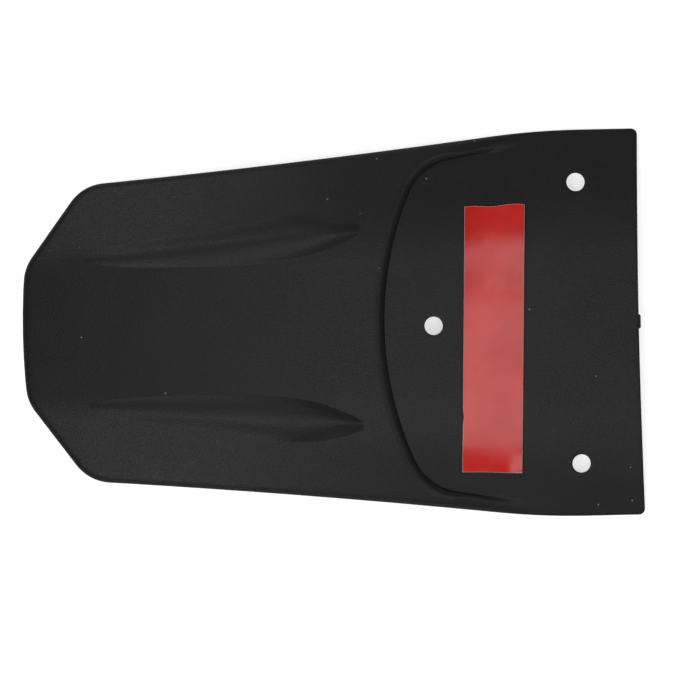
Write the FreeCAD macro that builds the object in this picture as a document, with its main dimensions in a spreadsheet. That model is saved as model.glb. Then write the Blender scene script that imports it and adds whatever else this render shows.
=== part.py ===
import FreeCAD, Part
import os
import Sketcher

# Rear fender extension: an arched plastic panel with a sunk mounting pad, and a strip of tape on the pad.
# Millimetres and degrees. X runs from the tail end to the mounting end, Y across and Z up.
# The panel lies on its edges with its outer side up, and the origin is under its middle.

SIZES = {
    # plan outline, half widths measured from the middle line
    "length": 220.0,
    "tail_bow": 1.1,
    "tail_half_width": 23.7,
    "shoulder_setback": 22.35,
    "shoulder_half_width": 52.7,
    "side_hollow": 0.87,
    "flare_setback": 52.0,
    "flare_share": 0.1156,
    "mount_half_width": 68.7,
    "mount_hollow": 1.0,
    "tail_corner_radius": 16.0,
    "mount_corner_radius": 2.0,
    # arch of the outer skin: lengthwise arc over the tail, straight from the bend on, flanks falling outwards
    "arch_radius": 450.0,
    "apex_x": -2.82,
    "bend_x": 20.0,
    "flank_angle": 12.0,
    "crease_tail": 25.0,
    "crease_mount": 42.6,
    "crease_radius_tail": 35.0,
    "crease_radius_mount": 170.0,
    "wall": 2.5,
    # mounting pad, sunk below the tail by the thickness of the fender that lies on it
    "step_depth": 2.6,
    "step_slope_run": 3.8,
    "step_slope_fall": 2.0,
    "pad_front_x": 18.7,
    "pad_front_radius": 120.0,
    "pad_corner_radius": 20.0,
    "pad_side_angle": 10.0,
    "pad_overhang": 2.05,
    "rim_fade_start": 48.0,
    "rim_fade_end": 80.0,
    "rim_end_height": 0.15,
    # ribs raised along the creases, from the tail tip to the blunt prow
    "rib_foot": 0.4,
    "rib_root": 9.0,
    "rib_tip_gap": 0.05,
    "rib_tip_half_width": 1.0,
    "rib_tip_x": -90.5,
    "rib_tip_y": 26.3,
    "rib_point_x": -80.0,
    "rib_point_inner": 23.9,
    "rib_point_ridge": 26.9,
    "rib_point_outer": 29.6,
    "rib_point_height": 0.4,
    "rib_slim_x": -68.0,
    "rib_slim_inner": 22.9,
    "rib_slim_ridge": 27.9,
    "rib_slim_outer": 31.6,
    "rib_slim_height": 0.8,
    "rib_mid_x": -40.0,
    "rib_mid_inner": 22.7,
    "rib_mid_ridge": 30.2,
    "rib_mid_outer": 35.6,
    "rib_mid_height": 1.2,
    "rib_wide_x": -14.0,
    "rib_wide_inner": 24.6,
    "rib_wide_ridge": 33.2,
    "rib_wide_outer": 40.2,
    "rib_wide_height": 1.75,
    "rib_prow_x": -1.0,
    "rib_prow_inner": 28.0,
    "rib_prow_ridge": 34.2,
    "rib_prow_outer": 39.2,
    "rib_prow_height": 1.9,
    "rib_nose_x": 6.5,
    "rib_nose_inner": 31.1,
    "rib_nose_ridge": 34.6,
    "rib_nose_outer": 37.5,
    "rib_nose_height": 1.1,
    "rib_end_x": 11.5,
    "rib_end_y": 34.9,
    # screw holes, moulded straight down
    "hole_diameter": 6.5,
    "hole_spacing": 100.0,
    "hole_setback": 22.35,
    "centre_hole_setback": 73.9,
    # trimmed moulding gate at the mounting end
    "gate_width": 5.0,
    "gate_proud": 0.7,
    "gate_height": 1.7,
    # tape strip on the pad
    "tape_width": 21.3,
    "tape_length": 93.5,
    "tape_setback": 54.15,
    "tape_offset": -4.65,
    "tape_skew": 1.7,
    "tape_thickness": 1.0,
    "liner_thickness": 0.15,
    # stock round the panel that the cuts take away
    "stock_margin": 8.0,
    "stock_depth": 30.0,
    "crown_sections": 9,
}

doc = FreeCAD.newDocument("FenderExtension")
sheet = doc.addObject("Spreadsheet::Sheet", "Sizes")
for row, (alias, value) in enumerate(SIZES.items(), start=1):
    sheet.set(f"A{row}", alias)
    sheet.set(f"B{row}", str(value))
    sheet.setAlias(f"B{row}", alias)
doc.recompute()

# Expressions shared by several features
HALF = "Sizes.length / 2"
RUN = "(Sizes.bend_x - Sizes.apex_x)"
BEND_DROP = f"(Sizes.arch_radius - sqrt(Sizes.arch_radius^2 - {RUN}^2))"
PAD_SLOPE = f"({RUN} / sqrt(Sizes.arch_radius^2 - {RUN}^2))"


def along(low, high, x):
    """Expression for a size that changes evenly from the tail end to the mounting end."""
    return f"(Sizes.{low} + (Sizes.{high} - Sizes.{low}) * ({x} + {HALF}) / Sizes.length)"


def arch_drop(x):
    """Expression for how far the middle of the arch lies below its apex at x."""
    arc = f"(Sizes.arch_radius - sqrt(Sizes.arch_radius^2 - ({x} - Sizes.apex_x)^2))"
    straight = f"({BEND_DROP} + ({x} - Sizes.bend_x) * {PAD_SLOPE})"
    return f"({x} < Sizes.bend_x ? {arc} : {straight})"


def crease(x):
    """Expression for the half width at which the flank leaves the flat middle, before rounding."""
    return along("crease_tail", "crease_mount", x)


def crease_radius(x):
    """Expression for the radius that rounds the crease at x."""
    return along("crease_radius_tail", "crease_radius_mount", x)


def crease_reach(x):
    """Expression for how far the rounding reaches from the crease along either side."""
    return f"({crease_radius(x)} * tan(Sizes.flank_angle * 0.5))"


# The two mounting corners touch the ground, which sets the height of the apex
MOUNT_DROP = f"(Sizes.mount_half_width - {crease(HALF)}) * tan(Sizes.flank_angle)"
APEX = f"({arch_drop(HALF)} + {MOUNT_DROP} + Sizes.step_depth + Sizes.wall)"


def middle(x):
    """Expression for the height of the outer skin on the middle line at x, at tail level."""
    return f"({APEX} - {arch_drop(x)})"


def rounded(x, y):
    """Expression for the height of the outer skin at y on the rounded crease, at tail level."""
    radius = crease_radius(x)
    start = f"({crease(x)} - {crease_reach(x)})"
    return f"({middle(x)} - {radius} + sqrt({radius}^2 - ({y} - {start})^2))"


def flank(x, y):
    """Expression for the height of the outer skin at y on the straight flank, at tail level."""
    return f"({middle(x)} - ({y} - {crease(x)}) * tan(Sizes.flank_angle))"


def number(expression):
    """Value of an expression with the sheet's sizes."""
    value = sheet.evalExpression(expression)
    return float(getattr(value, "Value", value))


def closed_sketch(name, corners, arcs, body=None):
    """Sketch of a closed outline whose corners and arc radii are bound to expressions.

    corners is a list of (x, y) expressions in order, and arcs maps the index of a corner to the
    radius of the arc that leaves it; a radius is positive where the arc turns left.
    """
    make = body.newObject if body else doc.addObject
    sketch = make("Sketcher::SketchObject", name)
    places = [FreeCAD.Vector(number(x), number(y), 0) for x, y in corners]
    ends = []
    for index, start in enumerate(places):
        stop = places[(index + 1) % len(places)]
        if index in arcs:
            geometry = sketch.addGeometry(arc_between(start, stop, number(arcs[index])))
        else:
            geometry = sketch.addGeometry(Part.LineSegment(start, stop))
        first = 1 if sketch.getPoint(geometry, 1).distanceToPoint(start) < 1e-6 else 2
        ends.append((geometry, first, 3 - first))
    for index, (geometry, first, _) in enumerate(ends):
        before, _, last = ends[index - 1]
        sketch.addConstraint(Sketcher.Constraint("Coincident", before, last, geometry, first))
        for kind, expression in zip(("DistanceX", "DistanceY"), corners[index]):
            bind(sketch, Sketcher.Constraint(kind, geometry, first, number(expression)), expression)
        if index in arcs:
            radius = f"abs({arcs[index]})"
            bind(sketch, Sketcher.Constraint("Radius", geometry, number(radius)), radius)
    return sketch


def arc_between(start, stop, radius):
    """Arc of the short way round from start to stop; a positive radius turns left."""
    chord = stop - start
    left = FreeCAD.Vector(-chord.y, chord.x, 0).normalize()
    rise = (radius**2 - (chord.Length / 2) ** 2) ** 0.5
    sign = 1 if radius > 0 else -1
    centre = (start + stop) * 0.5 + left * (sign * rise)
    top = centre - left * (sign * abs(radius))
    return Part.Arc(start, top, stop)


def bind(sketch, constraint, expression):
    """Add a constraint and tie its value to an expression."""
    index = sketch.addConstraint(constraint)
    sketch.setExpression(f"Constraints[{index}]", expression)


def feature(kind, name, bound=None, **values):
    """Document object with plain property values and properties bound to expressions."""
    made = doc.addObject(kind, name)
    for key, value in values.items():
        setattr(made, key, value)
    for path, expression in (bound or {}).items():
        made.setExpression(path, expression)
    return made


def across(name, x, corners, arcs):
    """Closed sketch in the plane across the panel at x, with corners given as (y, z)."""
    sketch = closed_sketch(name, corners, arcs)
    sketch.Placement = FreeCAD.Placement(FreeCAD.Vector(), FreeCAD.Rotation(FreeCAD.Vector(1, 1, 1), 120))
    sketch.setExpression("Placement.Base.x", x)
    return sketch


def lowered(name, base, drop):
    """The same body moved down by an expression."""
    return feature("Part::Compound", name, {"Placement.Base.z": f"-({drop})"}, Links=[base])


def crown():
    """Solid under the arched outer skin at tail level, wider and longer than the panel."""
    sections = []
    count = int(SIZES["crown_sections"])
    width = "(Sizes.mount_half_width + Sizes.stock_margin)"
    for index in range(count):
        x = f"((Sizes.length + 2 * Sizes.stock_margin) * ({index} / {count - 1} - 0.5))"
        reach = crease_reach(x)
        flat = (f"({crease(x)} - {reach})", middle(x))
        bent = (
            f"({crease(x)} + {reach} * cos(Sizes.flank_angle))",
            f"({middle(x)} - {reach} * sin(Sizes.flank_angle))",
        )
        edge = (width, flank(x, width))
        foot = (width, "-Sizes.stock_depth")
        right = [foot, edge, bent, flat]
        left = [(f"-{y}", z) for y, z in reversed(right)]
        radius = crease_radius(x)
        sections.append(across(f"CrownSection{index}", x, right + left, {2: radius, 4: radius}))
    return feature("Part::Loft", "Crown", Sections=sections, Solid=True, Ruled=False, MaxDegree=3)


def plan_body(name, corners, arcs, rounded_corners):
    """Upright body of a plan outline with some of its corners rounded.

    rounded_corners is a list of (corner indices, radius expression).
    """
    body = doc.addObject("PartDesign::Body", name)
    sketch = closed_sketch(f"{name}Plan", corners, arcs, body)
    plane = next(item for item in body.Origin.OriginFeatures if item.Role == "XY_Plane")
    sketch.AttachmentSupport = [(plane, "")]
    sketch.MapMode = "FlatFace"
    pad = body.newObject("PartDesign::Pad", f"{name}Pad")
    pad.Profile = sketch
    pad.Midplane = True
    pad.setExpression("Length", "2 * Sizes.stock_depth")
    doc.recompute()
    for group, (indices, radius) in enumerate(rounded_corners):
        places = [(number(corners[index][0]), number(corners[index][1])) for index in indices]
        base = body.Tip
        fillet = body.newObject("PartDesign::Fillet", f"{name}Fillet{group}")
        fillet.Base = (base, upright_edges(base.Shape, places))
        fillet.setExpression("Radius", radius)
        doc.recompute()
    return body


def upright_edges(shape, places):
    """Names of the upright edges of a shape that stand on the given (x, y) places."""
    names = []
    for index, edge in enumerate(shape.Edges, start=1):
        box = edge.BoundBox
        for x, y in places:
            if max(abs(box.XMin - x), abs(box.XMax - x), abs(box.YMin - y), abs(box.YMax - y)) < 1e-4:
                names.append(f"Edge{index}")
    return names


def outline():
    """Upright body of the panel's whole plan outline."""
    tail = (f"(Sizes.tail_bow - {HALF})", "Sizes.tail_half_width")
    shoulder = (f"(Sizes.shoulder_setback - {HALF})", "Sizes.shoulder_half_width")
    flare_rise = "(Sizes.flare_share * (Sizes.mount_half_width - Sizes.shoulder_half_width))"
    flare = (f"({HALF} - Sizes.flare_setback)", f"(Sizes.mount_half_width - {flare_rise})")
    mount = (f"({HALF})", "Sizes.mount_half_width")
    run = f"({flare[0]} - {shoulder[0]})"
    rise = f"({flare[1]} - {shoulder[1]})"
    chord = f"sqrt({run}^2 + {rise}^2)"
    side_radius = f"(({chord} / 2)^2 + Sizes.side_hollow^2) / (2 * Sizes.side_hollow)"
    slope = f"(atan({rise} / {run}) + asin({chord} / 2 / ({side_radius})))"
    flare_radius = f"({flare_rise} / (1 - cos({slope})))"
    straight = (f"({flare[0]} + {flare_radius} * sin({slope}))", "Sizes.mount_half_width")
    bow_radius = "(Sizes.tail_half_width^2 + Sizes.tail_bow^2) / (2 * Sizes.tail_bow)"
    hollow_radius = "(Sizes.mount_half_width^2 + Sizes.mount_hollow^2) / (2 * Sizes.mount_hollow)"
    upper = [mount, straight, flare, shoulder, tail]
    lower = [(x, f"-{y}") for x, y in reversed(upper)]
    arcs = {
        1: flare_radius,
        2: f"-({side_radius})",
        4: bow_radius,
        6: f"-({side_radius})",
        7: flare_radius,
        9: f"-({hollow_radius})",
    }
    tail_corners = [3, 4, 5, 6]
    mount_corners = [0, 9]
    rounding = [(tail_corners, "Sizes.tail_corner_radius"), (mount_corners, "Sizes.mount_corner_radius")]
    return plan_body("Outline", upper + lower, arcs, rounding)


def pad_side(x, grow="0"):
    """Expression for the half width of the pad's side line at x, grown by an expression."""
    slope = "tan(Sizes.pad_side_angle)"
    end = f"(Sizes.mount_half_width + Sizes.pad_overhang + ({grow}) * sqrt(1 + {slope}^2))"
    return f"({end} - {slope} * ({HALF} - {x}))"


def pad_region(name, grow):
    """Upright body of the mounting pad's plan, grown by an expression."""
    slope = "tan(Sizes.pad_side_angle)"
    radius = f"(Sizes.pad_front_radius + {grow})"
    centre = "(Sizes.pad_front_x + Sizes.pad_front_radius)"
    level = pad_side(centre, grow)
    root = f"sqrt(({level} * {slope})^2 - (1 + {slope}^2) * ({level}^2 - {radius}^2))"
    back = f"((-{level} * {slope} - {root}) / (1 + {slope}^2))"
    corner = (f"({centre} + {back})", f"({level} + {slope} * {back})")
    end = f"({HALF} + 2 * Sizes.stock_margin)"
    upper = [(end, pad_side(end, grow)), corner]
    lower = [(x, f"-{y}") for x, y in reversed(upper)]
    return plan_body(name, upper + lower, {1: radius}, [([1, 2], f"(Sizes.pad_corner_radius + {grow})")])


def past_rims(name, grow):
    """Block over the whole width past the end of the rims beside the pad."""
    bound = {
        "Length": f"{HALF} + 2 * Sizes.stock_margin - Sizes.rim_fade_end",
        "Width": "2 * (Sizes.mount_half_width + 2 * Sizes.stock_margin)",
        "Height": "4 * Sizes.stock_depth",
        "Placement.Base.x": f"Sizes.rim_fade_end - {grow}",
        "Placement.Base.y": "-(Sizes.mount_half_width + 2 * Sizes.stock_margin)",
        "Placement.Base.z": "-2 * Sizes.stock_depth",
    }
    return feature("Part::Box", name, bound)


def rim_ramp():
    """Cutter over the +Y rim beside the pad, whose underside falls from tail level to near pad level."""
    width = "(Sizes.mount_half_width + Sizes.stock_margin)"
    sections = []
    for name, fall in (("start", "0"), ("end", "(Sizes.step_depth - Sizes.rim_end_height)")):
        x = f"Sizes.rim_fade_{name}"
        inside = f"({pad_side(x)} - Sizes.stock_margin / 2)"
        bottom = [(y, f"({flank(x, y)} - {fall})") for y in (inside, width)]
        top = [(y, f"({flank(x, y)} + Sizes.stock_margin)") for y in (width, inside)]
        sections.append(across(f"RimRamp_{name}", x, bottom + top, {}))
    return feature("Part::Loft", "RimRamp", Sections=sections, Solid=True, Ruled=True)


def rib():
    """Boat-shaped rib on the +Y side, pointed at the tail and blunt at the prow, with its foot in the skin."""
    sections = []
    for place in ("point", "slim", "mid", "wide", "prow", "nose"):
        x = f"Sizes.rib_{place}_x"
        ridge = f"Sizes.rib_{place}_ridge"
        top = f"({rounded(x, ridge)} + Sizes.rib_{place}_height)"
        sides = []
        for side, sign in (("inner", "-"), ("outer", "+")):
            edge = f"Sizes.rib_{place}_{side}"
            fall = f"({top} - {rounded(x, edge)})"
            radius = f"((({edge} - {ridge})^2 + {fall}^2) / (2 * {fall}))"
            depth = f"({fall} + Sizes.rib_foot)"
            reach = f"sqrt({radius}^2 - ({radius} - {depth})^2)"
            sides.append((f"({ridge} {sign} {reach})", f"({top} - {depth})", radius))
        sections.append(rib_section(place, x, ridge, top, sides))
    for place in ("tip", "end"):
        x = f"Sizes.rib_{place}_x"
        ridge = f"Sizes.rib_{place}_y"
        top = f"({rounded(x, ridge)} - Sizes.rib_tip_gap)"
        radius = "((Sizes.rib_tip_half_width^2 + Sizes.rib_foot^2) / (2 * Sizes.rib_foot))"
        foot = f"({top} - Sizes.rib_foot)"
        sides = [(f"({ridge} {sign} Sizes.rib_tip_half_width)", foot, radius) for sign in "-+"]
        sections.insert(0 if place == "tip" else len(sections), rib_section(place, x, ridge, top, sides))
    return feature("Part::Loft", "Rib", Sections=sections, Solid=True, Ruled=False, MaxDegree=3)


def rib_section(place, x, ridge, top, sides):
    """Section of the rib: two arcs from its highest line to below the skin, as (y, z, radius)."""
    base = f"({middle(x)} - Sizes.rib_root)"
    inner, outer = sides
    corners = [(inner[0], base), inner[:2], (ridge, top), outer[:2], (outer[0], base)]
    return across(f"RibSection_{place}", x, corners, {1: f"-{inner[2]}", 2: f"-{outer[2]}"})


def sloped(name, base):
    """The sunk arch with the edge round the pad's front and sides sloped down towards the pad."""
    body = doc.addObject("PartDesign::Body", name)
    body.BaseFeature = base
    doc.recompute()
    stock = body.Tip
    chamfer = body.newObject("PartDesign::Chamfer", f"{name}Edge")
    chamfer.Base = (stock, step_edges(stock.Shape))
    chamfer.ChamferType = "Two distances"
    chamfer.setExpression("Size", "Sizes.step_slope_run")
    chamfer.setExpression("Size2", "Sizes.step_slope_fall")
    return body


def step_edges(shape):
    """Names of the edges where the pad's curved walls meet the arched skin."""
    names = []
    for index, edge in enumerate(shape.Edges, start=1):
        kinds = {face.Surface.TypeId for face in shape.ancestorsOfType(edge, Part.Face)}
        if kinds == {"Part::GeomCylinder", "Part::GeomBSplineSurface"} and edge.BoundBox.ZMin > 0:
            names.append(f"Edge{index}")
    return names


def skin(name, arch, ramps, ribs, drop, slope=False):
    """Solid under one face of the panel: the arch with the pad sunk into it, rims that fade and raised ribs."""
    region = pad_region(f"{name}Region", drop)
    clear = past_rims(f"{name}PastRims", drop)
    tail = lowered(f"{name}Tail", arch, drop)
    sunk = feature("Part::Cut", f"{name}Sunk", Base=tail, Tool=region)
    if slope:
        sunk = sloped(f"{name}Sloped", sunk)
    ended = feature("Part::Cut", f"{name}Ended", Base=sunk, Tool=clear)
    faded = feature("Part::Cut", f"{name}Faded", Base=ended, Tool=lowered(f"{name}Ramps", ramps, drop))
    ribbed = feature("Part::Fuse", f"{name}Ribbed", Base=faded, Tool=lowered(f"{name}Ribs", ribs, drop))
    seat = lowered(f"{name}Seat", arch, f"{drop} + Sizes.step_depth")
    floor = feature("Part::Fuse", f"{name}Floor", Base=region, Tool=clear)
    pad = feature("Part::Common", f"{name}Pad", Base=seat, Tool=floor)
    return feature("Part::Fuse", f"{name}Skin", Base=ribbed, Tool=pad)


def screw_holes():
    """The two screw holes near the mounting end and the one ahead of the tape."""
    places = {
        "HoleLeft": (f"{HALF} - Sizes.hole_setback", "Sizes.hole_spacing / 2"),
        "HoleRight": (f"{HALF} - Sizes.hole_setback", "-Sizes.hole_spacing / 2"),
        "HoleCentre": (f"{HALF} - Sizes.centre_hole_setback", "0"),
    }
    holes = []
    for name, (x, y) in places.items():
        bound = {
            "Radius": "Sizes.hole_diameter / 2",
            "Height": "2 * Sizes.stock_depth",
            "Placement.Base.x": x,
            "Placement.Base.y": y,
            "Placement.Base.z": "-Sizes.stock_depth",
        }
        holes.append(feature("Part::Cylinder", name, bound))
    return feature("Part::Compound", "ScrewHoles", Links=holes)


def gate():
    """Trimmed stub of the moulding gate on the mounting end's edge."""
    bound = {
        "Length": "Sizes.wall + Sizes.gate_proud",
        "Width": "Sizes.gate_width",
        "Height": "Sizes.gate_height",
        "Placement.Base.x": f"{HALF} - Sizes.mount_hollow - Sizes.wall",
        "Placement.Base.y": "-Sizes.gate_width / 2",
        "Placement.Base.z": f"{middle(HALF)} - Sizes.step_depth - (Sizes.wall + Sizes.gate_height) / 2",
    }
    return feature("Part::Box", "Gate", bound)


def strip(name, arch, low, high):
    """Strip of the tape's plan between two heights above the pad."""
    bound = {
        "Length": "Sizes.tape_width",
        "Width": "Sizes.tape_length",
        "Height": "2 * Sizes.stock_depth",
        "Placement.Rotation.Angle": "-Sizes.tape_skew",
        "Placement.Base.x": f"{HALF} - Sizes.tape_setback - Sizes.tape_width / 2",
        "Placement.Base.y": "Sizes.tape_offset - Sizes.tape_length / 2",
        "Placement.Base.z": "-Sizes.stock_depth",
    }
    plan = feature("Part::Box", f"{name}Plan", bound)
    top = lowered(f"{name}Top", arch, f"Sizes.step_depth - ({high})")
    bottom = lowered(f"{name}Bottom", arch, f"Sizes.step_depth - ({low})")
    under = feature("Part::Common", f"{name}Under", Base=plan, Tool=top)
    return feature("Part::Cut", name, Base=under, Tool=bottom)


def both_sides(shape):
    """The shape and its mirror image across the middle line."""
    name = f"{shape.Name}Mirrored"
    return [shape, feature("Part::Mirroring", name, Source=shape, Normal=FreeCAD.Vector(0, 1, 0))]


def panel(arch):
    """The moulded panel: outer skin less inner skin, trimmed to the outline and pierced."""
    ramps = feature("Part::Compound", "RimRamps", Links=both_sides(rim_ramp()))
    ribs = feature("Part::Compound", "Ribs", Links=both_sides(rib()))
    outer = skin("Outer", arch, ramps, ribs, "0", slope=True)
    inner = skin("Inner", arch, ramps, ribs, "Sizes.wall")
    shell = feature("Part::Cut", "Shell", Base=outer, Tool=inner)
    trimmed = feature("Part::Common", "Trimmed", Base=shell, Tool=outline())
    gated = feature("Part::Fuse", "Gated", Base=trimmed, Tool=gate())
    return feature("Part::Cut", "Panel", Base=gated, Tool=screw_holes())


arch = crown()
tape_top = "Sizes.tape_thickness"
liner_top = "Sizes.tape_thickness + Sizes.liner_thickness"
NODES = {
    "fender_panel": panel(arch),
    "adhesive_tape": strip("Tape", arch, "0", tape_top),
    "release_liner": strip("Liner", arch, tape_top, liner_top),
}
for label, node in NODES.items():
    node.Label = label
doc.recompute()

for item in doc.Objects:
    if "Invalid" in item.State or "Error" in item.State:
        raise RuntimeError(f"{item.Name} failed to build")
for label, node in NODES.items():
    if node.Shape.isNull() or not node.Shape.isValid() or len(node.Shape.Solids) != 1:
        raise RuntimeError(f"{label} is not one valid solid")

os.makedirs("parts", exist_ok=True)
for label, node in NODES.items():
    node.Shape.exportStep(f"parts/{label}.step")
    print(label, round(node.Shape.Volume), "mm3")
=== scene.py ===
"""Rear fender extension: grained black panel, sunk mounting pad, and tape under a red liner.

Sizes are in millimetres, except where a line says metres.
"""

import logging
import math
from dataclasses import dataclass
from enum import Enum

import bpy
import numpy as np
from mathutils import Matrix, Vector, geometry

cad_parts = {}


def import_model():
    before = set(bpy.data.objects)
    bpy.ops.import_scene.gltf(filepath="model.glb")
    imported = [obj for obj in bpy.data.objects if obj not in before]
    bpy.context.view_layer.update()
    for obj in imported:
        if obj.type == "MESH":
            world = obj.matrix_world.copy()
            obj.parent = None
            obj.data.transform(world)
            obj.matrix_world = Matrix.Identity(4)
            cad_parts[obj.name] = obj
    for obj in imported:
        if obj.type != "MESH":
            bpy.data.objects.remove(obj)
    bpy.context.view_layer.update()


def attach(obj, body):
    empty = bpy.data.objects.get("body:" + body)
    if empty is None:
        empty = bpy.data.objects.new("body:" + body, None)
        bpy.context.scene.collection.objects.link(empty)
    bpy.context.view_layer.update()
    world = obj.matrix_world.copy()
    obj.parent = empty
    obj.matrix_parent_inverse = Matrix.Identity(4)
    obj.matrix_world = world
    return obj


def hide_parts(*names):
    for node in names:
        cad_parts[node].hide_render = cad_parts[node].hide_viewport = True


Array = np.ndarray
Material = bpy.types.Material
Piece = bpy.types.Object
Socket = bpy.types.NodeSocket
Pair = tuple[float, float]
Triple = tuple[float, float, float]
Sizes = tuple[float, ...]
Faces = list[list[int]]
Turns = list[tuple[Array, float]]

LOG = logging.getLogger("fender_extension")
MM = 0.001
HALF_LENGTH = 110.0
HALF_WIDTH = 68.7
MIRROR = np.array([1.0, -1.0])
CORNER_POINTS = 14
MESH_TOLERANCE = 1e-5
CHUNK = 200
MIX_FIRST, MIX_SECOND, MIX_RESULT = 6, 7, 2
NOISE_WIDE = (0.3, 0.7)
NOISE_NARROW = (0.35, 0.65)


class Face(Enum):
    """The two faces of the moulded panel."""

    OUTER = "outer"
    UNDER = "under"


@dataclass(frozen=True)
class Guide:
    """Line that the mesh of a face follows in plan; a border is where the face ends."""

    points: Array
    closed: bool = True
    border: bool = False


@dataclass(frozen=True)
class Crown:
    """Arched skin: an arc along the tail, straight past the bend, and flanks that fall outwards."""

    arch_radius: float = 450.0
    apex_x: float = -2.82
    bend_x: float = 20.0
    flank: float = math.radians(12.0)
    crease_tail: float = 25.0
    crease_mount: float = 42.6
    crease_radius_tail: float = 35.0
    crease_radius_mount: float = 170.0
    wall: float = 2.5
    step: float = 2.6

    def drop(self, x: Array) -> Array:
        """Depth of the middle line below the apex.

        Args:
            x: places along the panel.

        Returns:
            The depth at each place.
        """
        run = self.bend_x - self.apex_x
        root = math.sqrt(self.arch_radius**2 - run**2)
        along = np.minimum(x - self.apex_x, run)
        bent = self.arch_radius - np.sqrt(self.arch_radius**2 - along**2)
        return bent + np.maximum(x - self.bend_x, 0.0) * run / root

    def height(self, x: Array, y: Array) -> Array:
        """Height of the skin, before the pad is sunk and the ribs are raised.

        Args:
            x: places along the panel.
            y: places across the panel.

        Returns:
            The height at each place.
        """
        share = (x + HALF_LENGTH) / (2 * HALF_LENGTH)
        crease = between(self.crease_tail, self.crease_mount, share)
        radius = between(self.crease_radius_tail, self.crease_radius_mount, share)
        reach = radius * math.tan(self.flank / 2)
        out = np.abs(y) - (crease - reach)
        span = reach * (1 + math.cos(self.flank))
        bent = np.clip(out, 0.0, span)
        fall = radius - np.sqrt(radius**2 - bent**2)
        fall = np.where(out > span, (np.abs(y) - crease) * math.tan(self.flank), fall)
        return self.apex() - self.drop(x) - fall

    def apex(self) -> float:
        """Height of the highest line, with the two mounting corners on the ground."""
        corner = (HALF_WIDTH - self.crease_mount) * math.tan(self.flank)
        return float(self.drop(np.array(HALF_LENGTH))) + corner + self.step + self.wall


@dataclass(frozen=True)
class Rib:
    """Long rib raised along each crease, pointed at the tail and blunt at its prow."""

    x: Sizes = (-90.5, -80.0, -68.0, -54.0, -40.0, -27.0, -14.0, -6.0, -1.0, 4.0, 8.0, 11.5)
    inner: Sizes = (26.3, 23.8, 22.9, 22.7, 22.7, 23.4, 24.6, 26.3, 27.9, 29.9, 31.8, 34.9)
    ridge: Sizes = (26.3, 27.0, 27.9, 29.0, 30.2, 31.5, 33.0, 33.6, 33.9, 34.1, 34.4, 34.9)
    outer: Sizes = (26.3, 30.4, 32.6, 34.6, 36.4, 38.4, 40.2, 39.9, 39.2, 38.2, 37.1, 34.9)
    height: Sizes = (0.0, 0.5, 0.8, 1.0, 1.2, 1.48, 1.75, 1.9, 1.9, 1.5, 0.9, 0.0)
    soft_until: float = -26.0
    crisp_from: float = -8.0
    inner_power: float = 2.0
    outer_power: float = 1.5
    tip_margin: float = 0.01
    least_run: float = 1e-3
    foot_margin: float = 0.05
    foot_turn: Pair = (-6.0, -5.2)
    foot_counts: tuple[int, int] = (90, 40)
    foot_gap: float = 0.3
    wide: float = 3.0

    def line(self, name: str, x: Array) -> Array:
        """Smooth run of one of the rib's sizes along the panel."""
        return smooth_run(np.array(self.x), np.array(getattr(self, name)), x)

    def feet(self) -> list[Array]:
        """Lines along both feet of the +Y rib, and close beside them where the rib is wide.

        Returns:
            The points of each line in plan.
        """
        tail = np.linspace(self.x[0] + self.foot_margin, self.foot_turn[0], self.foot_counts[0])
        prow = np.linspace(self.foot_turn[1], self.x[-1] - self.foot_margin, self.foot_counts[1])
        places = np.concatenate([tail, prow])
        wide = self.line("outer", places) - self.line("inner", places) > self.wide
        lines = []
        for name in ("inner", "outer"):
            foot = np.stack([places, self.line(name, places)], axis=1)
            lines.append(foot)
            lines += [foot[wide] + np.array([0.0, gap]) for gap in (-self.foot_gap, self.foot_gap)]
        return lines

    def rise(self, x: Array, y: Array) -> Array:
        """Height of the rib above the crown.

        Args:
            x: places along the panel.
            y: places across the panel.

        Returns:
            The height at each place, nothing beside the rib.
        """
        past = (x <= self.x[0]) | (x >= self.x[-1])
        place = np.clip(x, self.x[0] + self.tip_margin, self.x[-1] - self.tip_margin)
        side = np.abs(y)
        ridge = self.line("ridge", place)
        within_ridge = side < ridge
        edge = np.where(within_ridge, self.line("inner", place), self.line("outer", place))
        run = np.maximum(np.abs(edge - ridge), self.least_run)
        share = held(np.abs(side - ridge) / run)
        crisp = 1 - share ** np.where(within_ridge, self.inner_power, self.outer_power)
        soft = 0.5 + 0.5 * np.cos(math.pi * share)
        softness = (self.crisp_from - place) / (self.crisp_from - self.soft_until)
        blend = np.where(within_ridge, 0.0, eased(held(softness)))
        return np.where(past, 0.0, self.line("height", place) * between(crisp, soft, blend))


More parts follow.
